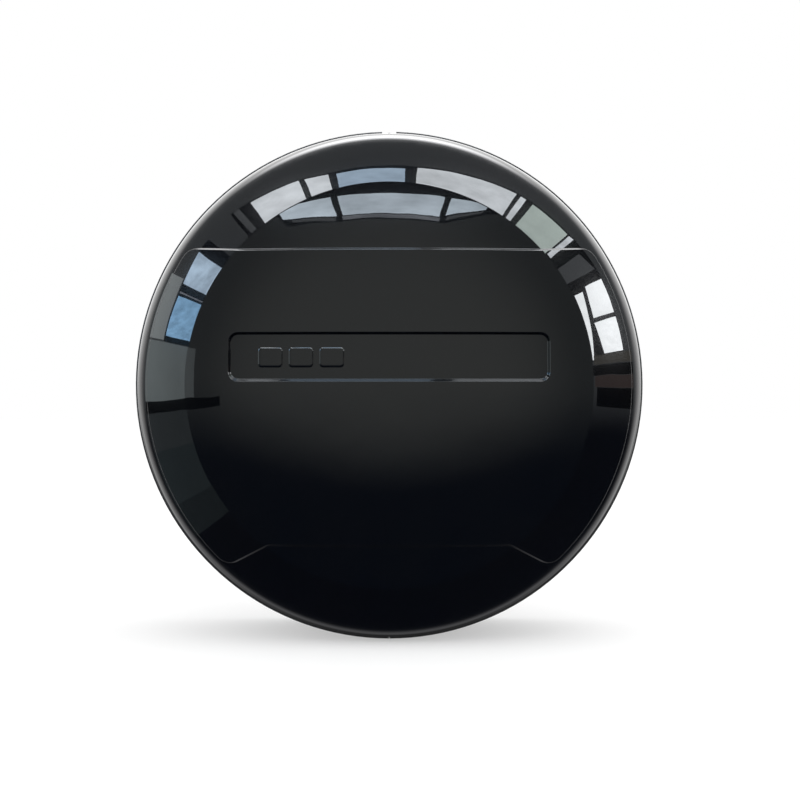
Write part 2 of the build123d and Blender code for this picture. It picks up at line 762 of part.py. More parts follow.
with BuildPart() as latch_keeper:
    with BuildSketch(across(LATCH_Z - 9)):
        with BuildLine():
            Polyline(
                (22, BAND_BACK_Y + FIT),
                (46, BAND_BACK_Y + FIT),
                (46, BAND_BACK_Y + PLATE_THICK),
                (25.5, BAND_BACK_Y + PLATE_THICK),
                (25.5, 249.6),
                (27.5, 250.6),
                (30.5, 250.6),
                (30.5, 252.2),
                (26.5, 252.2),
                (23, 250.4),
                (22, 248.5),
                close=True,
            )
        make_face()
    extrude(amount=18)
    flange_holes(keeper_rivet_places)
export(latch_keeper, "latch_keeper")

with BuildPart() as keeper_rivets:
    flange_rivets(keeper_rivet_places)
export(keeper_rivets, "keeper_rivets")
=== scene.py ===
import bpy
import math
import numpy as np
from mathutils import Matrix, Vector
from mathutils.geometry import delaunay_2d_cdt


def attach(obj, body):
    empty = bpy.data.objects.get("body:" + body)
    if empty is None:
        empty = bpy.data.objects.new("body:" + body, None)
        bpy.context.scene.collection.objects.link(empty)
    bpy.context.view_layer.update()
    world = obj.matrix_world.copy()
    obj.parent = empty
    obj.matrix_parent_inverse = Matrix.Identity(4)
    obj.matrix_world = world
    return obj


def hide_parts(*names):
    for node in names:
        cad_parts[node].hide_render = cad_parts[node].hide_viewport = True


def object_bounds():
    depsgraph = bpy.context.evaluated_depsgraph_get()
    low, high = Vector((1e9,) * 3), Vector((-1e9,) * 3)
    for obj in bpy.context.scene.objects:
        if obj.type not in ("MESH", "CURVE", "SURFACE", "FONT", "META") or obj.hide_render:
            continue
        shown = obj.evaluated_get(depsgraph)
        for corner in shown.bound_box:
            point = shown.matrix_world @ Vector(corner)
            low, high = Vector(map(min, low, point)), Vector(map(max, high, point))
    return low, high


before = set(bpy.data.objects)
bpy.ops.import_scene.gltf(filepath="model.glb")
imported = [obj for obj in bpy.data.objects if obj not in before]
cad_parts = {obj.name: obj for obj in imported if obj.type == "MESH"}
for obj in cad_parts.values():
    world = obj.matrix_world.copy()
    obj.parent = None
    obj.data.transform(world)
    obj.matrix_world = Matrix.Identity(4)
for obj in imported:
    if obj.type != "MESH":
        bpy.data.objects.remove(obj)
cad_low, cad_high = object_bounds()
scene = bpy.context.scene
MM = 0.001

# ---------------------------------------------------------------- dimensions, in millimetres
# They repeat the driving dimensions of the CAD part, because a scene can't read its source.

WALL = 3.0
APEX_Y = -76.0
CREASE_R = 333.5
CREASE_Y = -50.0
DOME_POWER = 3
CHAMFER_START = math.radians(24)
CHAMFER_END = math.radians(38)
ROLL_R = 408.5
RIM_R = 426.5
CHAMFER_ARC = (ROLL_R - CREASE_R) / (math.sin(CHAMFER_END) - math.sin(CHAMFER_START))
CHAMFER_CENTRE = (CREASE_R - CHAMFER_ARC * math.sin(CHAMFER_START),
                  CREASE_Y + CHAMFER_ARC * math.cos(CHAMFER_START))
ROLL_ARC = (RIM_R - ROLL_R) / (1 - math.sin(CHAMFER_END))
ROLL_CENTRE = (RIM_R - ROLL_ARC, CHAMFER_CENTRE[1] - (CHAMFER_ARC - ROLL_ARC) * math.cos(CHAMFER_END))
RIM_BACK_Y = 35.5
NECK_R = 422.5
LIP_R = 426.5
LIP_Y = 40.0
LIP_THICK = 3.5
PANEL_LIFT = 3.5
PANEL_TOP = 221.0
PANEL_BOTTOM = -261.5
TOP_KNEE_X = 248.0
BOTTOM_KNEE_X = 199.0
PANEL_EDGE_R = 404.0
PANEL_CORNER = 26.0
TOP_FLARE = math.radians(4)
BOTTOM_FLARE = math.radians(29)
SLOT_WIDTH = 519.0
SLOT_HEIGHT = 76.0
SLOT_Z = 46.0
SLOT_CORNER = 14.0
SLOT_DEPTH = 6.0
BOSS_X = 24.0
BOSS_Z = 394.0
BOSS_R = 7.0
BOSS_END_Y = 5.8
HOLE_R = 2.4
HOLE_DEPTH = 11.0
BAR_WIDTH = 40.0
BAR_HEIGHT = 33.0
BAR_STEP = 50.0
BAR_FIRST_X = -193.0
BAR_PROUD = 2.0
BAR_CORNER = 6.0
BOND_GAP = 0.2
PAD_COUNT = 8
PAD_RADIAL = 46.0
PAD_TANGENT = 90.0
PAD_MID_R = 331.0
TYRE_R = 407.5
BAND_IN_R = 416.0

# These belong to the visual meshes alone: soft transitions, and how finely each outline is drawn.

CREASE_BLEND = 2.2
KNEE_R = 14
STEP_WIDTH = 3.2
SIDE_STEP_WIDTH = 1.2
SIDE_STEP_FROM_R = 384
SIDE_STEP_BLEND = 14
WALL_WIDTH = 4.6
DISC_R = 409.5
FLAT_MIDDLE_R = 60
SECTORS = 720
PANEL_LOOPS = (-2.6, -1.7, -1.2, -0.85, -0.6, -0.4, -0.2, 0, 0.2, 0.4, 0.6, 0.85, 1.2, 1.7, 2.6)
SLOT_LOOPS = (-3.2, -2.3, -1.85, -1.4, -0.95, -0.5, 0, 0.5, 0.95, 1.4, 1.85, 2.3, 3.2)
CREASE_LOOPS = (-4.5, -2.2, -1.3, -0.5, 0.5, 1.3, 2.2, 4.5)
INNER_SLOT_LOOPS = (-3, -2.3, -1.5, -0.75, 0, 0.75, 1.5, 2.3, 3)
INNER_CREASE_SHIFT = 1.2
BOSS_SIDES = 32
BAR_ARC_STEPS = 10
FOAM_BULGE = 0.55
FOAM_EDGE_POWER = 24
FOAM_INSET = 0.5
FIRST_PAD_ANGLE = 22.5
GRIP_ANGLES = (50, 0, -50)
GRIP_FRONT_Y = 90.0
GRIP_LENGTH = 100
GRIP_HALF_ANGLE = 5.0
GRIP_RIBS = 11
RIB_STEPS = 8
RIB_DEPTH = 2.6
GRIP_END_DROP = 1.6
GRIP_END_LENGTH = 2.6


# ---------------------------------------------------------------- helpers

def mesh_object(name, points, faces, normals=None, smooth=True):
    """New mesh object from points in millimetres, with its own normals where they are given."""
    mesh = bpy.data.meshes.new(name)
    mesh.from_pydata([tuple(p) for p in np.asarray(points) * MM], [], faces)
    mesh.polygons.foreach_set("use_smooth", [smooth] * len(mesh.polygons))
    mesh.update()
    if normals is not None:
        mesh.normals_split_custom_set_from_vertices([tuple(n) for n in normals])
    made = bpy.data.objects.new(name, mesh)
    scene.collection.objects.link(made)
    return made


def ease(t):
    """Smooth step from 0 to 1."""
    t = np.clip(t, 0, 1)
    return t * t * (3 - 2 * t)


# ---------------------------------------------------------------- outside of the face, in (radius, y)

def face_profile():
    """Fine table of the outside's radius, height and slope, with a small blend at the crease."""
    radius = np.arange(0, RIM_R - 0.9, 0.05)
    dome = DOME_POWER * (CREASE_Y - APEX_Y) / CREASE_R * (radius / CREASE_R) ** (DOME_POWER - 1)
    s = np.clip((radius - CHAMFER_CENTRE[0]) / CHAMFER_ARC, -0.9, 0.9)
    chamfer = s / np.sqrt(1 - s * s)
    mix = ease((radius - CREASE_R) / (2 * CREASE_BLEND) + 0.5)
    slope = dome * (1 - mix) + chamfer * mix
    s = np.clip((radius - ROLL_CENTRE[0]) / ROLL_ARC, -0.999, 0.999)
    roll = s / np.sqrt(1 - s * s)
    slope = np.where(radius > ROLL_R, roll, slope)
    steps = (slope[1:] + slope[:-1]) / 2 * np.diff(radius)
    height = APEX_Y + np.concatenate([[0], np.cumsum(steps)])
    end = np.interp(DISC_R, radius, height)
    wanted = ROLL_CENTRE[1] - math.sqrt(ROLL_ARC ** 2 - (DISC_R - ROLL_CENTRE[0]) ** 2)
    height += (wanted - end) * ease((radius - FLAT_MIDDLE_R) / (CREASE_R - FLAT_MIDDLE_R))
    return radius, height, slope


PROFILE_R, PROFILE_Y, PROFILE_SLOPE = face_profile()


# ---------------------------------------------------------------- outlines of the raised panel and the slot

def arc_points(centre, radius, first, last, spacing):
    """Points along an arc from one angle to another, both in radians."""
    count = max(2, int(abs(last - first) * radius / spacing))
    angles = np.linspace(first, last, count + 1)
    return [(centre[0] + radius * math.cos(a), centre[1] + radius * math.sin(a)) for a in angles]


def line_points(start, end, spacing):
    """Points along a straight run, without its ends."""
    count = max(1, int(math.dist(start, end) / spacing))
    return [(start[0] + (end[0] - start[0]) * i / count, start[1] + (end[1] - start[1]) * i / count)
            for i in range(1, count)]


def panel_quarter(knee_x, knee_z, flare, knee_r, spacing):
    """Right-hand half of the panel's top edge, from its middle to the arc near the rim.
    It is drawn for a top edge; the bottom edge is its mirror image."""
    setback = knee_r * math.tan(flare / 2)
    knee_centre = (knee_x - setback, knee_z + knee_r)
    points = [(0, knee_z)] + line_points((0, knee_z), (knee_x - setback, knee_z), spacing)
    points += arc_points(knee_centre, knee_r, -math.pi / 2, -math.pi / 2 + flare, spacing / 3)
    along = np.array([math.cos(flare), math.sin(flare)])
    inward = np.array([math.sin(flare), -math.cos(flare)])
    knee = np.array([knee_x, knee_z])
    base = knee + inward * PANEL_CORNER
    reach = PANEL_EDGE_R - PANEL_CORNER
    b = base @ along
    run = -b + math.sqrt(b * b - base @ base + reach * reach)
    centre = base + along * run
    foot = knee + along * run
    points += line_points(points[-1], tuple(foot), spacing)
    end = math.atan2(centre[1], centre[0])
    points += arc_points(centre, PANEL_CORNER, math.pi / 2 + flare, end, spacing / 2)
    return points


def panel_outline(spacing):
    """Closed outline of the raised panel, counter-clockwise, in (x, z)."""
    top = panel_quarter(TOP_KNEE_X, PANEL_TOP, TOP_FLARE, KNEE_R, spacing)
    bottom = panel_quarter(BOTTOM_KNEE_X, -PANEL_BOTTOM, BOTTOM_FLARE, KNEE_R, spacing)
    low = [(x, -z) for x, z in bottom]
    side = arc_points((0, 0), PANEL_EDGE_R, math.atan2(low[-1][1], low[-1][0]),
                      math.atan2(top[-1][1], top[-1][0]), spacing)
    right = low + side[1:-1] + top[::-1]
    left = [(-x, z) for x, z in right[::-1]]
    return np.array(right + left[1:-1])


def outline_normals(points):
    """Outward unit normals of a closed counter-clockwise outline."""
    along = np.roll(points, -1, 0) - np.roll(points, 1, 0)
    outward = np.stack([along[:, 1], -along[:, 0]], 1)
    return outward / np.linalg.norm(outward, axis=1)[:, None]


def inside_distance(queries, outline):
    """Signed distance of each query point to a closed outline, positive inside."""
    run = np.roll(outline, -1, 0) - outline
    length2 = (run ** 2).sum(1)
    result = np.empty(len(queries))
    for first in range(0, len(queries), 4000):
        q = queries[first:first + 4000, None, :] - outline[None]
        t = np.clip((q * run).sum(2) / length2, 0, 1)
        gap = q - run * t[..., None]
        far2 = (gap ** 2).sum(2)
        nearest = far2.argmin(1)
        row = np.arange(len(nearest))
        cross = run[nearest, 0] * gap[row, nearest, 1] - run[nearest, 1] * gap[row, nearest, 0]
        result[first:first + 4000] = np.sqrt(far2[row, nearest]) * np.where(cross > 0, 1, -1)
    return result


def slot_distance(queries, grow=0.0):
    """Signed distance to the slot's rounded rectangle, positive inside."""
    corner = SLOT_CORNER + grow
    half = np.array([SLOT_WIDTH / 2 + grow - corner, SLOT_HEIGHT / 2 + grow - corner])
    q = np.abs(queries - np.array([0, SLOT_Z])) - half
    return corner - np.linalg.norm(np.maximum(q, 0), axis=1) - np.minimum(q.max(1), 0)


def slot_outline(spacing, grow=0.0):
    """Closed outline of the slot, counter-clockwise."""
    corner = SLOT_CORNER + grow
    x = SLOT_WIDTH / 2 + grow - corner
    z = SLOT_HEIGHT / 2 + grow - corner
    points = []
    for turn, (cx, cz) in enumerate([(x, z), (-x, z), (-x, -z), (x, -z)]):
        first = turn * math.pi / 2
        centre = (cx, SLOT_Z + cz)
        points += arc_points(centre, corner, first, first + math.pi / 2, spacing / 2)
        after = [(-x, z), (-x, -z), (x, -z), (x, z)][turn]
        out = (math.cos(first + math.pi / 2) * corner, math.sin(first + math.pi / 2) * corner)
        points += line_points(points[-1], (after[0] + out[0], SLOT_Z + after[1] + out[1]), spacing)
    return np.array(points)


def circle_outline(radius, count):
    """Closed circle about the origin, counter-clockwise."""
    angles = np.arange(count) * 2 * math.pi / count
    return np.stack([radius * np.cos(angles), radius * np.sin(angles)], 1)


PANEL = panel_outline(4.0)


def outside_height(points):
    """y of the face's outside, with the raised panel and the slot, at points in (x, z)."""
    radius = np.linalg.norm(points, axis=1)
    base = np.interp(radius, PROFILE_R, PROFILE_Y)
    near_side = ease((radius - SIDE_STEP_FROM_R) / SIDE_STEP_BLEND)
    width = STEP_WIDTH - (STEP_WIDTH - SIDE_STEP_WIDTH) * near_side
    lift = PANEL_LIFT * ease(inside_distance(points, PANEL) / width + 0.5)
    depth = SLOT_DEPTH * ease(slot_distance(points) / WALL_WIDTH + 0.5)
    return base - lift + depth


def inner_table():
    """The inside's radius and height: the outside moved in by the wall, square to it."""
    angle = np.arctan(PROFILE_SLOPE)
    return PROFILE_R - WALL * np.sin(angle), PROFILE_Y + WALL * np.cos(angle)


INNER_R, INNER_Y = inner_table()


def inside_height(points):
    """y of the face's inside, with the slot's back standing out of it."""
    radius = np.linalg.norm(points, axis=1)
    base = np.interp(radius, INNER_R, INNER_Y)
    bump = (SLOT_DEPTH - PANEL_LIFT) * ease(slot_distance(points, WALL) / WALL_WIDTH + 0.5)
    return base + bump


def height_normals(points, height, step=0.04):
    """Normals of a height field, which point towards -Y."""
    dx = np.array([step, 0])
    dz = np.array([0, step])
    slope_x = (height(points + dx) - height(points - dx)) / (2 * step)
    slope_z = (height(points + dz) - height(points - dz)) / (2 * step)
    normals = np.stack([slope_x, -np.ones(len(points)), slope_z], 1)
    return normals / np.linalg.norm(normals, axis=1)[:, None]


def disc_points(loops, edge, pitch, keep_off):
    """Triangulates a disc: closed loops of points, the edge loop, and a hexagonal fill between them."""
    points = []
    edges = []
    for loop in [edge] + loops:
        first = len(points)
        points += [tuple(p) for p in loop]
        edges += [(first + i, first + (i + 1) % len(loop)) for i in range(len(loop))]
    edge_r = np.linalg.norm(edge[0])
    rows = np.arange(-edge_r, edge_r, pitch * math.sqrt(3) / 2)
    fill = np.array([(x + (j % 2) * pitch / 2, z) for j, z in enumerate(rows)
                     for x in np.arange(-edge_r, edge_r, pitch)])
    fill = fill[np.linalg.norm(fill, axis=1) < edge_r - pitch * 0.6]
    taken = np.array(points)
    free = np.ones(len(fill), bool)
    for first in range(0, len(fill), 1000):
        part = fill[first:first + 1000]
        near = ((part[:, None, :] - taken[None]) ** 2).sum(2).min(1)
        free[first:first + 1000] = near > keep_off ** 2
    points += [tuple(p) for p in fill[free]]
    found = delaunay_2d_cdt([Vector(p) for p in points], edges, [], 1, 1e-4)
    flat = np.array([tuple(v) for v in found[0]])
    return flat, [tuple(f) for f in found[2]]


def ring_faces(first, second, count, flip=False):
    """Quads between two rings of vertices that start at these indices."""
    faces = []
    for i in range(count):
        j = (i + 1) % count
        quad = (first + i, first + j, second + j, second + i)
        faces.append(quad[::-1] if flip else quad)
    return faces


def profile_normals(profile):
    """Normals of an open profile in (radius, y), to the right of its direction."""
    along = np.gradient(np.asarray(profile), axis=0)
    normals = np.stack([along[:, 1], -along[:, 0]], 1)
    return normals / np.linalg.norm(normals, axis=1)[:, None]


def round_corners(corners, radii, steps=4):
    """Open polyline with its inner corners rounded."""
    corners = [np.array(c, float) for c in corners]
    points = [corners[0]]
    for i in range(1, len(corners) - 1):
        before, here, after = corners[i - 1], corners[i], corners[i + 1]
        a = (before - here) / np.linalg.norm(before - here)
        b = (after - here) / np.linalg.norm(after - here)
        half = math.acos(max(-1, min(1, a @ b))) / 2
        radius = radii[i - 1]
        back = radius / math.tan(half)
        start, end = here + a * back, here + b * back
        centre = here + (a + b) / np.linalg.norm(a + b) * radius / math.sin(half)
        for k in range(steps + 1):
            p = start + (end - start) * k / steps
            points.append(centre + (p - centre) / np.linalg.norm(p - centre) * radius)
    points.append(corners[-1])
    return np.array(points)


# ---------------------------------------------------------------- the face shell

def make_face():
    """The gloss front moulding as one closed mesh: outside, rolled rim, neck and lip, inside."""
    edge = circle_outline(DISC_R, SECTORS)
    loops = []
    outward = outline_normals(PANEL)
    for offset in PANEL_LOOPS:
        loops.append(PANEL + outward * offset)
    for offset in SLOT_LOOPS:
        loops.append(slot_outline(5.0, offset))
    for offset in CREASE_LOOPS:
        loops.append(circle_outline(CREASE_R + offset, 480))
    flat, faces = disc_points(loops, edge, 9.0, 4.5)
    heights = outside_height(flat)
    outside_normals = height_normals(flat, outside_height)
    points = np.stack([flat[:, 0], heights, flat[:, 1]], 1)

    inner_edge_r = float(np.interp(DISC_R, PROFILE_R, INNER_R))
    inner_edge = circle_outline(inner_edge_r, SECTORS)
    inner_loops = [slot_outline(4.0, WALL + offset) for offset in INNER_SLOT_LOOPS]
    inner_loops += [circle_outline(CREASE_R - INNER_CREASE_SHIFT + offset, 300) for offset in (-2, 0, 2)]
    inner_flat, inner_faces = disc_points(inner_loops, inner_edge, 13.0, 6.0)
    inner_heights = inside_height(inner_flat)
    inner_points = np.stack([inner_flat[:, 0], inner_heights, inner_flat[:, 1]], 1)
    inner_normals = -height_normals(inner_flat, inside_height)

    first_angle = math.asin((DISC_R - ROLL_CENTRE[0]) / ROLL_ARC)
    roll = [(ROLL_CENTRE[0] + ROLL_ARC * math.sin(a), ROLL_CENTRE[1] - ROLL_ARC * math.cos(a))
            for a in np.linspace(first_angle, math.pi / 2, 14)]
    square = round_corners(
        [roll[-1], (RIM_R, RIM_BACK_Y), (NECK_R, RIM_BACK_Y), (NECK_R, LIP_Y), (LIP_R, LIP_Y),
         (LIP_R, LIP_Y + LIP_THICK), (NECK_R - WALL, LIP_Y + LIP_THICK),
         (NECK_R - WALL, RIM_BACK_Y - WALL), (RIM_R - WALL, RIM_BACK_Y - WALL),
         (RIM_R - WALL, ROLL_CENTRE[1])],
        [0.8, 0.5, 0.5, 0.6, 0.6, 0.6, 0.5, 0.5])
    inner_roll = [(ROLL_CENTRE[0] + (ROLL_ARC - WALL) * math.sin(a),
                   ROLL_CENTRE[1] - (ROLL_ARC - WALL) * math.cos(a))
                  for a in np.linspace(math.pi / 2, first_angle, 8)]
    profile = np.array(roll + [tuple(p) for p in square[1:-1]] + inner_roll)
    sides = profile_normals(profile)
    angles = np.arange(SECTORS) * 2 * math.pi / SECTORS

    all_points = [points]
    all_normals = [outside_normals]
    all_faces = [f[::-1] if facing(points, f) > 0 else f for f in faces]
    start = len(points)
    rings = []
    for k in range(1, len(profile) - 1):
        r, y = profile[k]
        nr, ny = sides[k]
        ring = np.stack([r * np.cos(angles), np.full(SECTORS, y), r * np.sin(angles)], 1)
        normal = np.stack([nr * np.cos(angles), np.full(SECTORS, ny), nr * np.sin(angles)], 1)
        all_points.append(ring)
        all_normals.append(normal)
        rings.append(start)
        start += SECTORS
    inner_start = start
    all_points.append(inner_points)
    all_normals.append(inner_normals)
    all_faces += [tuple(inner_start + i for i in (f[::-1] if facing(inner_points, f) < 0 else f))
                  for f in inner_faces]
    outer_edge = edge_ring(flat, edge)
    inner_ring = edge_ring(inner_flat, inner_edge, inner_start)
    chain = [outer_edge] + [list(range(r, r + SECTORS)) for r in rings] + [inner_ring]
    for a, b in zip(chain[:-1], chain[1:]):
        for i in range(SECTORS):
            j = (i + 1) % SECTORS
            all_faces.append((a[i], b[i], b[j], a[j]))
    start += len(inner_points)
    for side in (-1, 1):
        boss_points, boss_faces, boss_normals = lathe(boss_profile(), (side * BOSS_X, BOSS_Z), BOSS_SIDES)
        boss_points = np.array(boss_points)
        foot_r = np.hypot(boss_points[:BOSS_SIDES, 0], boss_points[:BOSS_SIDES, 2])
        boss_points[:BOSS_SIDES, 1] = np.interp(foot_r, INNER_R, INNER_Y) - WALL / 3
        all_points.append(boss_points)
        all_normals.append(np.array(boss_normals))
        all_faces += [tuple(start + i for i in f) for f in boss_faces]
        start += len(boss_points)
    return mesh_object("face_gloss", np.concatenate(all_points), all_faces, np.concatenate(all_normals))


def facing(points, face):
    """y of a flat face's normal, for its first three corners."""
    a, b, c = (points[i] for i in face[:3])
    return float(np.cross(b - a, c - a)[1])


def edge_ring(flat, edge, shift=0):
    """Indices of the triangulated points that lie on the edge loop, in its order."""
    radius = np.linalg.norm(edge[0])
    on_edge = np.where(np.abs(np.linalg.norm(flat, axis=1) - radius) < 1e-3)[0]
    angle = np.arctan2(flat[on_edge, 1], flat[on_edge, 0]) % (2 * math.pi)
    slot = np.rint(angle / (2 * math.pi) * len(edge)).astype(int) % len(edge)
    ring = [0] * len(edge)
    for index, place in zip(on_edge, slot):
        ring[place] = int(index) + shift
    return ring


def lathe(profile, centre, sections):
    """Points, faces and normals of a profile in (radius, y) turned about an axis along y."""
    angles = np.arange(sections) * 2 * math.pi / sections
    sides = profile_normals(profile)
    points = []
    normals = []
    for (r, y), (nr, ny) in zip(profile, sides):
        points += [(centre[0] + r * math.cos(a), y, centre[1] + r * math.sin(a)) for a in angles]
        normals += [(nr * math.cos(a), ny, nr * math.sin(a)) for a in angles]
    faces = []
    for k in range(len(profile) - 1):
        for i in range(sections):
            j = (i + 1) % sections
            a, b = k * sections, (k + 1) * sections
            faces.append((a + i, b + i, b + j, a + j))
    return points, faces, normals


def boss_profile():
    """Outline of a screw boss: outer wall, rounded end, screw hole and its bottom."""
    foot = float(np.interp(BOSS_Z, INNER_R, INNER_Y)) - WALL / 2
    bottom = BOSS_END_Y - HOLE_DEPTH
    corners = [(BOSS_R, foot), (BOSS_R, BOSS_END_Y), (HOLE_R, BOSS_END_Y), (HOLE_R, bottom), (0.05, bottom)]
    return round_corners(corners, [0.8, 0.4, 0.4])


face = make_face()
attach(face, "cover")
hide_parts("face_shell")


# ---------------------------------------------------------------- bars in the slot

def rounded_rectangle(centre, half, corner, steps):
    """Closed outline of a rounded rectangle, counter-clockwise."""
    points = []
    for turn, (sx, sz) in enumerate([(1, 1), (-1, 1), (-1, -1), (1, -1)]):
        middle = (centre[0] + sx * (half[0] - corner), centre[1] + sz * (half[1] - corner))
        first = turn * math.pi / 2
        angles = [first + i * math.pi / 2 / steps for i in range(steps + 1)]
        points += [(middle[0] + corner * math.cos(a), middle[1] + corner * math.sin(a)) for a in angles]
    return np.array(points)


def make_bars():
    """Three plain raised bars with crowned, softly rounded edges, on the slot's floor."""
    points = []
    faces = []
    rings = [(0, 0), (0.02, 0.5), (0.25, 1.0), (0.7, 1.4),
             (1.4, 1.7), (2.4, 1.9), (4.0, 1.98), (8.0, BAR_PROUD)]
    count = 4 * (BAR_ARC_STEPS + 1)
    for i in range(3):
        centre = (BAR_FIRST_X + i * BAR_STEP, SLOT_Z - 1)
        first = len(points)
        for inset, rise in rings:
            outline = rounded_rectangle(centre, (BAR_WIDTH / 2 - inset, BAR_HEIGHT / 2 - inset),
                                        max(1.0, BAR_CORNER - inset * 0.6), BAR_ARC_STEPS)
            floor_y = np.interp(np.linalg.norm(outline, axis=1), PROFILE_R, PROFILE_Y)
            floor_y = floor_y + SLOT_DEPTH - PANEL_LIFT
            points += [(x, y - rise, z) for (x, z), y in zip(outline, floor_y)]
        for k in range(len(rings) - 1):
            faces += ring_faces(first + k * count, first + (k + 1) * count, count, flip=True)
        faces.append(tuple(first + j for j in range(count)))
        faces.append(tuple(first + (len(rings) - 1) * count + j for j in range(count))[::-1])
    return mesh_object("badge_raised", points, faces)


bars = make_bars()
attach(bars, "cover")
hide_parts("badge_bars")


# ---------------------------------------------------------------- foam pads and grip pads

def pad_front(points, clearance):
    """y just behind the inside of the face at points in (x, z)."""
    return np.interp(np.linalg.norm(points, axis=1), INNER_R, INNER_Y) + clearance


def crown(u, v, power=6):
    """1 in the middle of a pad, falling to 0 round its edge."""
    return (1 - np.abs(u) ** power) * (1 - np.abs(v) ** power)


def make_foam_pad(angle, seed):
    """Block of foam: flat against the face, crowned towards the tyre, with soft, slightly worn edges."""
    cells_u, cells_v = 34, 60
    u = np.array([i / cells_u * 2 - 1 for j in range(cells_v + 1) for i in range(cells_u + 1)])
    v = np.array([j / cells_v * 2 - 1 for j in range(cells_v + 1) for i in range(cells_u + 1)])
    pinch = 1 - 0.018 * (np.abs(u) ** 8 + np.abs(v) ** 8)
    corner = 1 - 0.055 * (np.abs(u) ** 5 * np.abs(v) ** 5)
    radial = PAD_MID_R + u * (PAD_RADIAL / 2 - FOAM_INSET) * pinch * corner
    tangent = v * (PAD_TANGENT / 2 - FOAM_INSET) * pinch * corner
    c, s = math.cos(angle), math.sin(angle)
    flat = np.stack([radial * c - tangent * s, radial * s + tangent * c], 1)
    front = pad_front(flat, BOND_GAP + 0.9)
    draw = np.random.default_rng(seed)
    waves = sum(0.28 * np.sin(draw.uniform(1.5, 5) * u + draw.uniform(0, 6)) *
                np.sin(draw.uniform(1.5, 6) * v + draw.uniform(0, 6)) for _ in range(3))
    back = -2.6 + 2.2 * crown(u, v) + 0.35 * waves * crown(u, v, 4)
    front = front + 1.2 * (1 - crown(u, v, 10))
    levels = [0, 0.06, 0.16, 0.3, 0.45, 0.6, 0.75, 0.88, 0.96, 1]
    points = []
    wide = cells_u + 1
    out_u = np.sign(u) * np.abs(u) ** FOAM_EDGE_POWER
    out_v = np.sign(v) * np.abs(v) ** FOAM_EDGE_POWER
    side = np.stack([out_u * c - out_v * s, out_u * s + out_v * c], 1)
    for level in levels:
        belly = FOAM_BULGE * math.sin(math.pi * level)
        out = flat + side * (belly - FOAM_BULGE)
        height = front + (back - front) * level
        points.append(np.stack([out[:, 0], height, out[:, 1]], 1))
    border = list(range(wide))
    border += [j * wide + wide - 1 for j in range(1, cells_v + 1)]
    border += [cells_v * wide + i for i in range(wide - 2, -1, -1)]
    border += [j * wide for j in range(cells_v - 1, 0, -1)]
    size = wide * (cells_v + 1)
    all_points = list(points[0]) + list(points[-1])
    for level in points[1:-1]:
        all_points += [level[k] for k in border]
    faces = []
    for j in range(cells_v):
        for i in range(cells_u):
            a = j * wide + i
            quad = (a, a + 1, a + wide + 1, a + wide)
            faces.append(quad)
            faces.append(tuple(size + k for k in quad[::-1]))
    rows = [border] + [[2 * size + n * len(border) + k for k in range(len(border))]
                       for n in range(len(points) - 2)] + [[size + k for k in border]]
    for low_row, high_row in zip(rows[:-1], rows[1:]):
        for k in range(len(border)):
            m = (k + 1) % len(border)
            faces.append((low_row[m], low_row[k], high_row[k], high_row[m]))
    return all_points, faces


def make_foam_pads():
    """Ring of foam pads, each with its own wear."""
    points = []
    faces = []
    for n in range(PAD_COUNT):
        pad_points, pad_faces = make_foam_pad(math.radians(FIRST_PAD_ANGLE + n * 360 / PAD_COUNT), n)
        faces += [tuple(len(points) + k for k in f) for f in pad_faces]
        points += pad_points
    return mesh_object("foam_pads", points, faces)


foam = make_foam_pads()
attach(foam, "cover")
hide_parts("sidewall_pads")


def make_grip_pads(side):
    """Rubber pads on the tread wall, with ribs along the wheel's axis that press on the tyre."""
    outer_r = BAND_IN_R - 0.25
    inner_r = TYRE_R + 1.5
    half = GRIP_HALF_ANGLE
    points = []
    faces = []
    sweep = []
    for k in range(GRIP_RIBS * RIB_STEPS + 1):
        turn = k / (GRIP_RIBS * RIB_STEPS)
        wave = 0.5 - 0.5 * math.cos(turn * GRIP_RIBS * 2 * math.pi)
        edge = min(1.0, min(turn, 1 - turn) * 60)
        sweep.append((-half + 2 * half * turn, inner_r + RIB_DEPTH - RIB_DEPTH * ease(wave * 1.25) * edge))
    along = [0, 0.4, 1.2, 2.6, 5, 12, 30, 50, 70, 88, 95, 97.4, 98.8, 99.6, GRIP_LENGTH]
    for angle in GRIP_ANGLES:
        middle = angle if side > 0 else 180 - angle
        loops = []
        for step in along:
            end = min(step, GRIP_LENGTH - step)
            drop = GRIP_END_DROP * (1 - min(1, end / GRIP_END_LENGTH)) ** 2
            loop = [(outer_r, middle + half), (outer_r, middle - half)]
            loop += [(min(outer_r - 0.5, r + drop), middle + t) for t, r in sweep]
            y = GRIP_FRONT_Y + step
            loops.append([(r * math.cos(math.radians(t)), y, r * math.sin(math.radians(t))) for r, t in loop])
        first = len(points)
        count = len(loops[0])
        for loop in loops:
            points += loop
        for k in range(len(loops) - 1):
            faces += ring_faces(first + k * count, first + (k + 1) * count, count)
        faces.append(tuple(first + j for j in range(count)))
        faces.append(tuple(first + (len(loops) - 1) * count + j for j in range(count))[::-1])
    name = "left_ribbed_pads" if side < 0 else "right_ribbed_pads"
    return mesh_object(name, points, faces, smooth=False)


for name, side in (("left", -1), ("right", 1)):
    ribbed = make_grip_pads(side)
    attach(ribbed, f"{name}_half")
    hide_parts(f"{name}_grip_pads")
    bevel = ribbed.modifiers.new("soft edges", "BEVEL")
    bevel.width = 0.35 * MM
    bevel.segments = 2
    bevel.limit_method = "ANGLE"
    bevel.angle_limit = math.radians(50)


# ---------------------------------------------------------------- edges of the parts kept from CAD

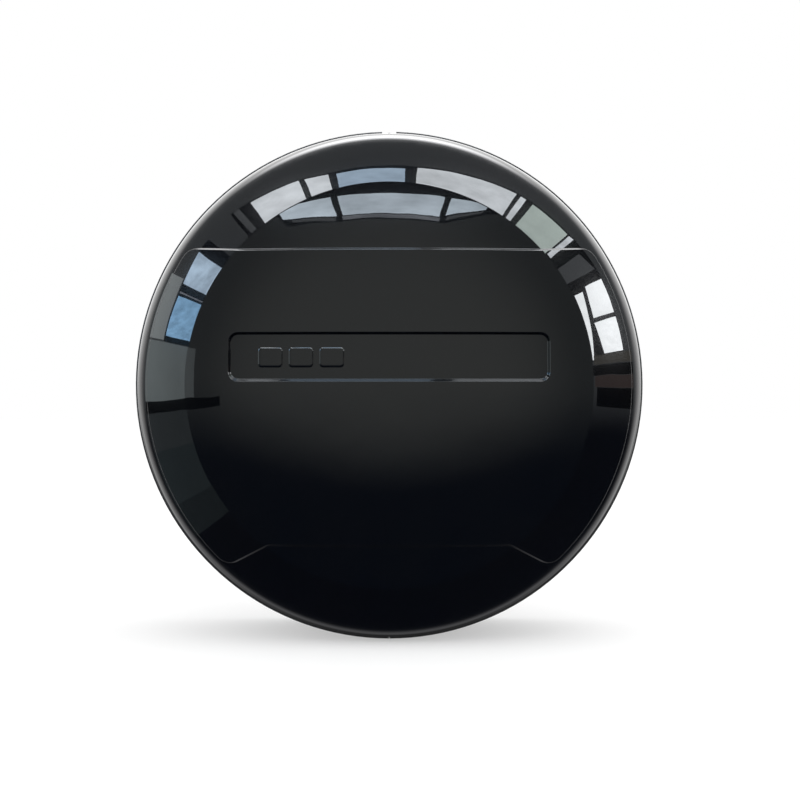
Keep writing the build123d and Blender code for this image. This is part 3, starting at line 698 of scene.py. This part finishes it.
def soften(node, width, segments=2, limit=40):
    """Joins the split corners of a CAD part and rounds its edges a little."""
    weld = node.modifiers.new("join", "WELD")
    weld.merge_threshold = 0.00001
    bevel = node.modifiers.new("soft edges", "BEVEL")
    bevel.width = width * MM
    bevel.segments = segments
    bevel.limit_method = "ANGLE"
    bevel.angle_limit = math.radians(limit)
    bevel.harden_normals = True


EDGE_WIDTHS = {
    "top_bridge": 0.5, "latch_base": 0.25, "latch_keeper": 0.25, "latch_lever": 0.25,
    "left_hinge_leaf": 0.3, "right_hinge_leaf": 0.3, "left_band": 0.6, "right_band": 0.6,
    "rib_frame": 0.5, "overlap_tongue": 0.4, "hinge_pin": 0.3, "left_edge_trim": 0.6,
    "right_edge_trim": 0.6, "rim_seal": 0.3, "bridge_screws": 0.25,
}
for name, width in EDGE_WIDTHS.items():
    soften(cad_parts[name], width)


# ---------------------------------------------------------------- materials

def new_material(name):
    material = bpy.data.materials.new(name)
    material.use_nodes = True
    nodes = material.node_tree.nodes
    return material, nodes, material.node_tree.links, nodes["Principled BSDF"]


def noise_node(nodes, links, coordinates, scale, detail=3.0, roughness=0.55, stretch=None):
    """Noise texture over the object's own coordinates."""
    texture = nodes.new("ShaderNodeTexNoise")
    texture.inputs["Scale"].default_value = scale
    texture.inputs["Detail"].default_value = detail
    texture.inputs["Roughness"].default_value = roughness
    source = coordinates.outputs["Object"]
    if stretch:
        mapping = nodes.new("ShaderNodeMapping")
        mapping.inputs["Scale"].default_value = stretch
        links.new(source, mapping.inputs["Vector"])
        source = mapping.outputs["Vector"]
    links.new(source, texture.inputs["Vector"])
    return texture


def vary_colour(nodes, links, texture, shader, first, second, low=0.35, high=0.65):
    ramp = nodes.new("ShaderNodeValToRGB")
    ramp.color_ramp.elements[0].position = low
    ramp.color_ramp.elements[1].position = high
    ramp.color_ramp.elements[0].color = (*first, 1)
    ramp.color_ramp.elements[1].color = (*second, 1)
    links.new(texture.outputs["Fac"], ramp.inputs["Fac"])
    links.new(ramp.outputs["Color"], shader.inputs["Base Color"])


def vary_roughness(nodes, links, texture, shader, low, high):
    spread = nodes.new("ShaderNodeMapRange")
    spread.inputs["From Min"].default_value = 0.3
    spread.inputs["From Max"].default_value = 0.7
    spread.inputs["To Min"].default_value = low
    spread.inputs["To Max"].default_value = high
    links.new(texture.outputs["Fac"], spread.inputs["Value"])
    links.new(spread.outputs["Result"], shader.inputs["Roughness"])


def add_bump(nodes, links, texture, distance, strength=1.0, after=None):
    bump = nodes.new("ShaderNodeBump")
    bump.inputs["Strength"].default_value = strength
    bump.inputs["Distance"].default_value = distance
    links.new(texture.outputs["Fac"], bump.inputs["Height"])
    if after:
        links.new(after.outputs["Normal"], bump.inputs["Normal"])
    return bump


def gloss_black():
    material, nodes, links, shader = new_material("gloss_black_abs")
    coordinates = nodes.new("ShaderNodeTexCoord")
    cloud = noise_node(nodes, links, coordinates, 7.0)
    dust = noise_node(nodes, links, coordinates, 900.0, 2.0)
    vary_colour(nodes, links, cloud, shader, (0.0009, 0.0012, 0.002), (0.0014, 0.0016, 0.0022))
    vary_roughness(nodes, links, dust, shader, 0.16, 0.24)
    wave = noise_node(nodes, links, coordinates, 13.0, 1.5, 0.5)
    peel = noise_node(nodes, links, coordinates, 260.0, 1.0, 0.4)
    slow = add_bump(nodes, links, wave, 0.00022)
    fine = add_bump(nodes, links, peel, 0.0000012, after=slow)
    links.new(fine.outputs["Normal"], shader.inputs["Normal"])
    links.new(fine.outputs["Normal"], shader.inputs["Coat Normal"])
    shader.inputs["Specular IOR Level"].default_value = 0.05
    shader.inputs["Coat Weight"].default_value = 1.0
    shader.inputs["Coat Roughness"].default_value = 0.015
    shader.inputs["Coat IOR"].default_value = 1.52
    return material


def satin_black():
    material, nodes, links, shader = new_material("satin_black_abs")
    coordinates = nodes.new("ShaderNodeTexCoord")
    cloud = noise_node(nodes, links, coordinates, 9.0, 4.0)
    grain = noise_node(nodes, links, coordinates, 1400.0, 3.0, 0.6)
    vary_colour(nodes, links, cloud, shader, (0.012, 0.0125, 0.0135), (0.019, 0.0195, 0.0205))
    vary_roughness(nodes, links, cloud, shader, 0.38, 0.5)
    bump = add_bump(nodes, links, grain, 0.00006)
    links.new(bump.outputs["Normal"], shader.inputs["Normal"])
    return material


def inner_plastic():
    material, nodes, links, shader = new_material("inner_plastic")
    coordinates = nodes.new("ShaderNodeTexCoord")
    cloud = noise_node(nodes, links, coordinates, 12.0, 4.0)
    grain = noise_node(nodes, links, coordinates, 900.0, 3.0, 0.6)
    vary_colour(nodes, links, cloud, shader, (0.016, 0.016, 0.017), (0.027, 0.027, 0.028))
    vary_roughness(nodes, links, cloud, shader, 0.5, 0.66)
    bump = add_bump(nodes, links, grain, 0.0001)
    links.new(bump.outputs["Normal"], shader.inputs["Normal"])
    return material


def pad_foam():
    material, nodes, links, shader = new_material("pad_foam")
    coordinates = nodes.new("ShaderNodeTexCoord")
    cloud = noise_node(nodes, links, coordinates, 30.0, 4.0)
    vary_colour(nodes, links, cloud, shader, (0.03, 0.03, 0.031), (0.05, 0.05, 0.05))
    cells = nodes.new("ShaderNodeTexVoronoi")
    cells.inputs["Scale"].default_value = 900.0
    links.new(coordinates.outputs["Object"], cells.inputs["Vector"])
    bump = nodes.new("ShaderNodeBump")
    bump.inputs["Strength"].default_value = 0.8
    bump.inputs["Distance"].default_value = 0.0004
    links.new(cells.outputs["Distance"], bump.inputs["Height"])
    links.new(bump.outputs["Normal"], shader.inputs["Normal"])
    shader.inputs["Roughness"].default_value = 0.92
    shader.inputs["Specular IOR Level"].default_value = 0.25
    return material


def seal_rubber():
    material, nodes, links, shader = new_material("seal_rubber")
    coordinates = nodes.new("ShaderNodeTexCoord")
    cloud = noise_node(nodes, links, coordinates, 25.0, 4.0)
    grain = noise_node(nodes, links, coordinates, 1800.0, 2.0)
    vary_colour(nodes, links, cloud, shader, (0.011, 0.011, 0.011), (0.02, 0.02, 0.019))
    vary_roughness(nodes, links, cloud, shader, 0.6, 0.78)
    bump = add_bump(nodes, links, grain, 0.00004)
    links.new(bump.outputs["Normal"], shader.inputs["Normal"])
    shader.inputs["Specular IOR Level"].default_value = 0.35
    return material


def zinc_steel():
    material, nodes, links, shader = new_material("zinc_steel")
    coordinates = nodes.new("ShaderNodeTexCoord")
    cloud = noise_node(nodes, links, coordinates, 60.0, 5.0, 0.6)
    vary_colour(nodes, links, cloud, shader, (0.17, 0.173, 0.172), (0.27, 0.27, 0.258))
    spots = noise_node(nodes, links, coordinates, 350.0, 4.0, 0.65)
    vary_roughness(nodes, links, spots, shader, 0.3, 0.46)
    brush = noise_node(nodes, links, coordinates, 700.0, 2.0, 0.5, stretch=(1, 0.08, 1))
    bump = add_bump(nodes, links, brush, 0.000012)
    links.new(bump.outputs["Normal"], shader.inputs["Normal"])
    shader.inputs["Metallic"].default_value = 1.0
    return material


def paint(thing, material):
    thing.data.materials.clear()
    thing.data.materials.append(material)


LOOKS = {
    "gloss_shell": gloss_black(),
    "satin_band": satin_black(),
    "inner_plastic": inner_plastic(),
    "pad_foam": pad_foam(),
    "seal_rubber": seal_rubber(),
    "zinc_steel": zinc_steel(),
}
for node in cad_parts.values():
    for slot in node.material_slots:
        slot.material = LOOKS[slot.material.name]
paint(face, LOOKS["gloss_shell"])
paint(bars, LOOKS["gloss_shell"])
paint(foam, LOOKS["pad_foam"])
for name in ("left_ribbed_pads", "right_ribbed_pads"):
    paint(bpy.data.objects[name], LOOKS["seal_rubber"])


# ---------------------------------------------------------------- studio

def emitting(name, colour, strength, cloud=0.0, scale=0.5):
    material = bpy.data.materials.new(name)
    material.use_nodes = True
    nodes = material.node_tree.nodes
    links = material.node_tree.links
    nodes.remove(nodes["Principled BSDF"])
    light = nodes.new("ShaderNodeEmission")
    light.inputs["Color"].default_value = (*colour, 1)
    light.inputs["Strength"].default_value = strength
    if cloud:
        coordinates = nodes.new("ShaderNodeTexCoord")
        texture = noise_node(nodes, links, coordinates, scale, 4.0, 0.6)
        spread = nodes.new("ShaderNodeMapRange")
        spread.inputs["From Min"].default_value = 0.3
        spread.inputs["From Max"].default_value = 0.7
        spread.inputs["To Min"].default_value = strength * (1 - cloud)
        spread.inputs["To Max"].default_value = strength * (1 + cloud)
        links.new(texture.outputs["Fac"], spread.inputs["Value"])
        links.new(spread.outputs["Result"], light.inputs["Strength"])
    links.new(light.outputs["Emission"], nodes["Material Output"].inputs["Surface"])
    return material


def only_in_reflections(thing):
    thing.visible_camera = False
    thing.visible_diffuse = False
    thing.visible_shadow = False
    thing.visible_transmission = False


def light_card(name, corners, material):
    """Flat glowing pane, in metres, that only shows in reflections."""
    card = mesh_object(name, np.array(corners) / MM, [tuple(range(len(corners)))], smooth=False)
    paint(card, material)
    only_in_reflections(card)
    return card


SKY_Z = 3.0
SIDE_X = 6.0
deep = emitting("sky_deep", (0.36, 0.66, 1.0), 8.4, 0.28, 0.8)
blue = emitting("sky_blue", (0.62, 0.8, 1.0), 9.4, 0.3, 0.9)
pale = emitting("sky_pale", (0.77, 0.89, 1.0), 9.8, 0.25, 0.9)
white = emitting("sky_white", (0.9, 0.95, 1.0), 11.0, 0.25, 1.2)
green = emitting("sky_green", (0.86, 1.0, 0.94), 6.9, 0.12, 1.0)
bright = emitting("sky_bright", (0.95, 0.98, 1.0), 17.0, 0.08, 0.6)
haze = emitting("sky_haze", (0.85, 0.9, 1.0), 2.2, 0.3, 2.0)
dim = emitting("sky_dim", (0.9, 0.95, 1.0), 0.85)
black = emitting("wall_black", (0.0, 0.0, 0.0), 0.0)

# Glowing windows on the plane z = SKY_Z, in metres, which the face mirrors. Another program worked out
# these corners, from where a photograph of the face shows each window, and some far corners were then moved.
# They match one photographed room and say nothing about the object.
panes = [
    # x at the left and right, near y at each end, far y at each end, colour
    (-13.55, -7.06, -4.02, -2.12, -13.9, -7.7, deep),
    (-6.83, -6.7, -2.05, -1.99, -7.4, -7.3, haze),
    (-6.1, -4.29, -1.79, -1.21, -6.8, -5.2, blue),
    (-2.71, -2.55, -0.91, -0.91, -2.6, -2.5, dim),
    (-2.29, -1.34, -0.98, -1.09, -3.7, -3.3, white),
    (-1.24, -0.86, -1.12, -1.19, -3.2, -3.1, white),
    (-0.75, 0.23, -1.24, -1.24, -3.05, -3.0, blue),
    (0.4, 2.0, -1.18, -0.91, -3.0, -3.6, white),
    (2.09, 2.22, -0.91, -0.91, -3.6, -3.7, white),
    (2.38, 3.56, -0.93, -0.97, -3.8, -4.6, green),
    (3.63, 3.82, -0.97, -0.92, -3.0, -3.1, white),
    (4.35, 5.3, -1.33, -1.09, -4.6, -5.2, dim),
    (5.96, 9.2, -1.1, -1.71, -2.76, -4.63, bright),
    (9.87, 20.3, -1.83, -3.72, -5.02, -9.14, bright),
    (6.21, 24.18, -3.3, -14.9, -4.24, -16.63, bright),
    (-1.94, -0.93, -4.4, -4.4, -5.07, -5.57, pale),
    (-0.82, 0.89, -4.4, -4.4, -5.57, -5.57, pale),
    (1.0, 1.66, -4.4, -4.4, -5.43, -4.68, pale),
    (-1.77, -0.96, -5.24, -5.63, -5.39, -5.9, dim),
    (-0.84, 0.91, -5.63, -5.63, -5.9, -5.9, haze),
    (1.03, 1.64, -5.5, -4.78, -5.77, -4.87, dim),
]
for number, (left, right, near_l, near_r, far_l, far_r, look) in enumerate(panes):
    light_card(f"window_{number}", [(left, near_l, SKY_Z), (right, near_r, SKY_Z),
                                    (right, far_r, SKY_Z), (left, far_l, SKY_Z)], look)

# Dark frames behind the panes, which show between them as mullions and as the beam
BACK_Z = SKY_Z + 0.02
light_card("frame_left", [(x, y, BACK_Z) for x, y in (
    (-15.5, -4.4), (-7.0, -2.0), (-4.0, -1.1), (-3.75, -1.1), (-3.75, -5.0), (-15.5, -16.5))], black)
light_card("frame_middle", [(x, y, BACK_Z) for x, y in (
    (-2.8, -0.88), (-2.3, -0.92), (-0.75, -1.16), (0.4, -1.12), (2.0, -0.85), (3.9, -0.88), (5.9, -1.02),
    (9.5, -1.68), (27.0, -4.7), (27.0, -19.0), (6.2, -5.2), (3.1, -4.7), (2.0, -4.7), (1.7, -5.0),
    (1.05, -6.05), (-0.9, -6.05), (-1.95, -5.6), (-2.05, -4.6), (-2.9, -4.2))], black)

# Side walls as seen in the chamfer: x, y range, z range, colour, strength. Places and strengths were set
# from positions and tones read off the same photograph.
walls = [
    ("left_wall", -SIDE_X, -4.6, -0.35, -0.4, 1.15, (0.86, 0.98, 1.0), 1.72),
    ("left_wall_far", -SIDE_X, -9.0, -4.6, -0.4, 1.15, (0.88, 0.98, 1.0), 0.95),
    ("left_wall_high", -SIDE_X, -1.62, -0.35, 1.2, 3.1, (0.9, 0.98, 1.0), 2.7),
    ("left_bar", -SIDE_X, -12.0, -0.35, -0.72, -0.4, (0, 0, 0), 0.0),
    ("left_low_high", -SIDE_X, -7.0, -0.35, -1.75, -0.72, (0.82, 0.95, 1.0), 0.34),
    ("left_low", -SIDE_X, -7.0, -0.35, -3.4, -1.75, (0.72, 0.93, 1.0), 0.27),
    ("left_low_dim", -SIDE_X, -9.0, -0.35, -4.7, -3.4, (0.72, 0.92, 1.0), 0.17),
    ("right_bar", SIDE_X, -5.0, -0.3, 0.28, 0.58, (0, 0, 0), 0.0),
    ("right_bar_low", SIDE_X, -3.4, -0.3, -0.6, -0.06, (0, 0, 0), 0.0),
    ("right_strip_low", SIDE_X, -3.6, -0.3, -0.05, 0.27, (1.0, 0.74, 0.68), 0.42),
    ("right_strip_high", SIDE_X, -3.6, -0.3, 0.6, 0.86, (1.0, 0.93, 0.8), 0.5),
]
for name, x, near, far, bottom, top, colour, strength in walls:
    light_card(name, [(x, near, bottom), (x, far, bottom), (x, far, top), (x, near, top)],
               emitting(name, colour, strength, 0.1, 0.4))


def make_world():
    """White for the camera and for soft light; in reflections a grey room in front, a pale one behind."""
    world = bpy.data.worlds.new("studio")
    scene.world = world
    world.use_nodes = True
    nodes = world.node_tree.nodes
    links = world.node_tree.links
    background = nodes["Background"]
    coordinates = nodes.new("ShaderNodeTexCoord")
    axes = nodes.new("ShaderNodeSeparateXYZ")
    links.new(coordinates.outputs["Generated"], axes.inputs["Vector"])

    def ramp(source, low, high):
        spread = nodes.new("ShaderNodeMapRange")
        spread.interpolation_type = "SMOOTHSTEP"
        spread.inputs["From Min"].default_value = low
        spread.inputs["From Max"].default_value = high
        links.new(source, spread.inputs["Value"])
        return spread.outputs["Result"]

    def blend(factor, first, second):
        mix = nodes.new("ShaderNodeMix")
        mix.data_type = "RGBA"
        for socket, value in ((mix.inputs[6], first), (mix.inputs[7], second)):
            if isinstance(value, tuple):
                socket.default_value = (*value, 1)
            else:
                links.new(value, socket)
        links.new(factor, mix.inputs[0])
        return mix.outputs[2]

    height = axes.outputs["Z"]
    depth = axes.outputs["Y"]
    upper = blend(ramp(depth, -1.0, -0.84), (0.54, 0.56, 0.54), (0.25, 0.27, 0.27))
    upper = blend(ramp(depth, -0.75, -0.5), upper, (0.45, 0.48, 0.5))
    lower = blend(ramp(depth, -0.8, -0.55), (0.025, 0.035, 0.06), (0.02, 0.024, 0.04))
    front = blend(ramp(height, -0.22, 0.03), lower, upper)
    side = blend(ramp(height, -1.0, -0.1), (0.5, 0.5, 0.52), (1.25, 1.25, 1.25))
    side = blend(ramp(height, -0.1, 0.6), side, (2.4, 2.4, 2.4))
    side = blend(ramp(height, 0.74, 0.98), side, (12.0, 12.0, 12.2))
    rear = blend(ramp(height, -0.25, 0.3), (0.03, 0.03, 0.03), (1.8, 1.8, 1.8))
    behind = blend(ramp(depth, 0.6, 0.85), side, rear)
    low = blend(ramp(depth, 0.3, 0.72), side, (0.02, 0.02, 0.02))
    behind = blend(ramp(height, -0.75, -0.35), low, behind)
    glossy = blend(ramp(depth, -0.1, 0.4), front, behind)
    path = nodes.new("ShaderNodeLightPath")
    rest = blend(path.outputs["Is Camera Ray"], (1.15, 1.15, 1.15), (1.0, 1.0, 1.0))
    links.new(blend(path.outputs["Is Glossy Ray"], rest, glossy), background.inputs["Color"])


make_world()

FLOOR_HALF = 14.0
FLOOR_GAP = 0.0005
floor_z = cad_low.z - FLOOR_GAP
floor_corners = [(x * FLOOR_HALF / MM, y * FLOOR_HALF / MM, floor_z / MM)
                 for x, y in ((-1, -1), (1, -1), (1, 1), (-1, 1))]
floor = mesh_object("floor", floor_corners, [(0, 1, 2, 3)], smooth=False)
floor_look, *_, floor_shader = new_material("studio_floor")
floor_shader.inputs["Base Color"].default_value = (0.56, 0.56, 0.56, 1)
floor_shader.inputs["Emission Color"].default_value = (1, 1, 1, 1)
floor_shader.inputs["Emission Strength"].default_value = 0.43
floor_shader.inputs["Roughness"].default_value = 0.9
floor_shader.inputs["Specular IOR Level"].default_value = 0.0
paint(floor, floor_look)
floor.visible_glossy = False

key_data = bpy.data.lights.new("soft_key", "AREA")
key_data.shape = "SQUARE"
key_data.size = 3.4
key_data.energy = 45
key = bpy.data.objects.new("soft_key", key_data)
key.location = (0.5, -0.5, 3.4)
key.rotation_euler = (Vector((0, 0.1, 0)) - key.location).to_track_quat("-Z", "Y").to_euler()
key.visible_glossy = False
scene.collection.objects.link(key)

scene.view_settings.view_transform = "Standard"


# ---------------------------------------------------------------- camera

CAMERA_DISTANCE = 2.2
camera_data = bpy.data.cameras.new("camera")
camera_data.sensor_width = 36
camera_data.lens = 59.2
camera_data.shift_x = 0.0135
camera_data.shift_y = -0.0186
camera_data.clip_end = 100
camera = bpy.data.objects.new("camera", camera_data)
camera.location = (0, -CAMERA_DISTANCE, 0)
camera.rotation_euler = (math.pi / 2, 0, 0)
scene.collection.objects.link(camera)
scene.camera = camera

bpy.context.view_layer.update()
